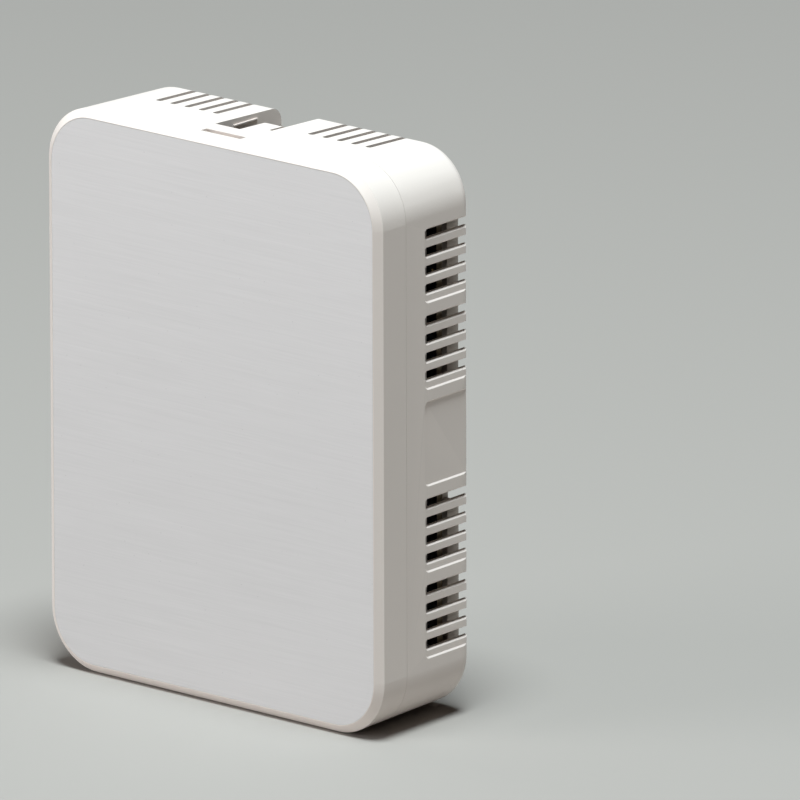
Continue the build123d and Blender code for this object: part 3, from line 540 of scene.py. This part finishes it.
# ---------------------------------------------------------------- small parts on the board
PASSIVE_COUNT = 44
PASSIVE_TRIES = 4000
PASSIVE_LENGTH = 1.6 * MM
PASSIVE_WIDTH = 0.8 * MM
RESISTOR_HEIGHT = 0.45 * MM
CAPACITOR_HEIGHT = 0.8 * MM
PASSIVE_ROOM = 0.7 * MM
PASSIVE_GRID = 0.5 * MM
RANDOM_SEED = 11
UPRIGHT_SHARE = 0.5
TALL_SHARE = 0.45
BOARD_MARGIN = 3.0 * MM
BOARD_LIKE = 0.9
WINDOW_HALF = 14 * MM
END_SHARE = 0.22
BODY_SHARE = 0.97
BODY_SOFTNESS = 0.04 * MM
END_SOFTNESS = 0.06 * MM
SOLDER_REACH = 0.35 * MM
SOLDER_RISE = 0.7
SOLDER_STEPS = 4


def taken_places(board_low, board_high):
    """Boxes, seen from the front, of what stands on the board or passes through it."""
    taken = []
    for name in nodes:
        low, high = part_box(name)
        small = high[0] - low[0] < (board_high[0] - board_low[0]) * BOARD_LIKE
        if small and low[1] < board_high[1] and high[1] > board_low[1] - MM:
            taken.append((low[0], low[2], high[0], high[2]))
    middle_x = (board_low[0] + board_high[0]) / 2
    middle_z = (board_low[2] + board_high[2]) / 2
    window = (middle_x - WINDOW_HALF, middle_z - WINDOW_HALF, middle_x + WINDOW_HALF, middle_z + WINDOW_HALF)
    taken.append(window)
    return taken


def grid_draw(draw, low, high):
    """A random step of the grid between two edges of the board, inside its margin."""
    return PASSIVE_GRID * round(draw.uniform(low + BOARD_MARGIN, high - BOARD_MARGIN) / PASSIVE_GRID)


def passive_places(board_low, board_high):
    """Places on a grid, clear of what is on the board, each with the way that the part lies."""
    draw = random.Random(RANDOM_SEED)
    taken = taken_places(board_low, board_high)
    places = []
    for _ in range(PASSIVE_TRIES):
        x = grid_draw(draw, board_low[0], board_high[0])
        z = grid_draw(draw, board_low[2], board_high[2])
        upright = draw.random() < UPRIGHT_SHARE
        reach = (PASSIVE_LENGTH / 2 + SOLDER_REACH, PASSIVE_WIDTH / 2)
        dx, dz = (reach[1], reach[0]) if upright else reach
        box = (x - dx - PASSIVE_ROOM, z - dz - PASSIVE_ROOM, x + dx + PASSIVE_ROOM, z + dz + PASSIVE_ROOM)
        free = all(box[2] < t[0] or box[0] > t[2] or box[3] < t[1] or box[1] > t[3] for t in taken)
        if free and len(places) < PASSIVE_COUNT:
            places.append((x, z, upright, draw.random() < TALL_SHARE))
            taken.append((x - dx, z - dz, x + dx, z + dz))
    return places


def add_block(form, place, size, softness):
    """A box with rounded edges, its centre and size given."""
    block = bmesh.new()
    bmesh.ops.create_cube(block, size=1.0)
    bmesh.ops.scale(block, verts=block.verts[:], vec=size)
    bmesh.ops.bevel(
        block, geom=block.edges[:], offset=softness, segments=EDGE_SEGMENTS, affect="EDGES", profile=0.5
    )
    bmesh.ops.translate(block, verts=block.verts[:], vec=place)
    mesh = bpy.data.meshes.new("block")
    block.to_mesh(mesh)
    block.free()
    form.from_mesh(mesh)
    bpy.data.meshes.remove(mesh)


def add_fillet(form, foot, outward, width, height, along):
    """A concave solder fillet from an end of a part down to its pad."""
    across = Vector((0, 0, 1)) if abs(outward.x) > 0.5 else Vector((1, 0, 0))
    rows = []
    for step in range(SOLDER_STEPS + 1):
        angle = math.pi / 2 * step / SOLDER_STEPS
        run = along * (1 - math.cos(angle))
        rise = height * (1 - math.sin(angle))
        rows.append(foot + outward * run + Vector((0, -rise, 0)))
    rows.append(foot.copy())
    rings = []
    for side in (-1, 1):
        rings.append([form.verts.new(point + across * side * width / 2) for point in rows])
    for i in range(len(rows)):
        j = (i + 1) % len(rows)
        form.faces.new((rings[0][i], rings[0][j], rings[1][j], rings[1][i]))
    form.faces.new(rings[0][::-1])
    form.faces.new(rings[1])


def finish_piece(form, name, slot):
    """Turns mesh work into a piece that rides on the housing."""
    bmesh.ops.recalc_face_normals(form, faces=form.faces)
    mesh = bpy.data.meshes.new(name)
    form.to_mesh(mesh)
    form.free()
    mesh.materials.append(MATERIALS[slot])
    piece = add_object(name, mesh)
    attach(piece, "housing")


def make_passives():
    """Chip resistors and capacitors, soldered to the front of the main board."""
    board_low, board_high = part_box("main_board")
    resistors, capacitors, ends = bmesh.new(), bmesh.new(), bmesh.new()
    for x, z, upright, tall in passive_places(board_low, board_high):
        outward = Vector((0, 0, 1)) if upright else Vector((1, 0, 0))
        height = CAPACITOR_HEIGHT if tall else RESISTOR_HEIGHT
        centre = Vector((x, board_low[1] - height / 2, z))
        body = capacitors if tall else resistors
        long_axis = 2 if upright else 0
        size = [PASSIVE_WIDTH, height, PASSIVE_WIDTH]
        size[long_axis] = PASSIVE_LENGTH * (1 - END_SHARE)
        add_block(body, centre, [BODY_SHARE * part for part in size], BODY_SOFTNESS)
        for way in (-1, 1):
            length = PASSIVE_LENGTH * END_SHARE
            size[long_axis] = length
            end = centre + outward * way * (PASSIVE_LENGTH - length) / 2
            add_block(ends, end, size, END_SOFTNESS)
            foot = Vector((x, board_low[1], z)) + outward * way * PASSIVE_LENGTH / 2
            add_fillet(ends, foot, outward * way, PASSIVE_WIDTH, height * SOLDER_RISE, SOLDER_REACH)
    finish_piece(resistors, "chip_resistors", "chip_black")
    finish_piece(capacitors, "chip_capacitors", "inductor_grey")
    finish_piece(ends, "passive_ends", "tinned_metal")


# ---------------------------------------------------------------- build
dress_nodes()
for node_name, edge_radius in EDGE_RADIUS.items():
    soften(node_name, edge_radius)
make_latch_spring()
make_passives()
make_stage()
make_lights()
make_camera()
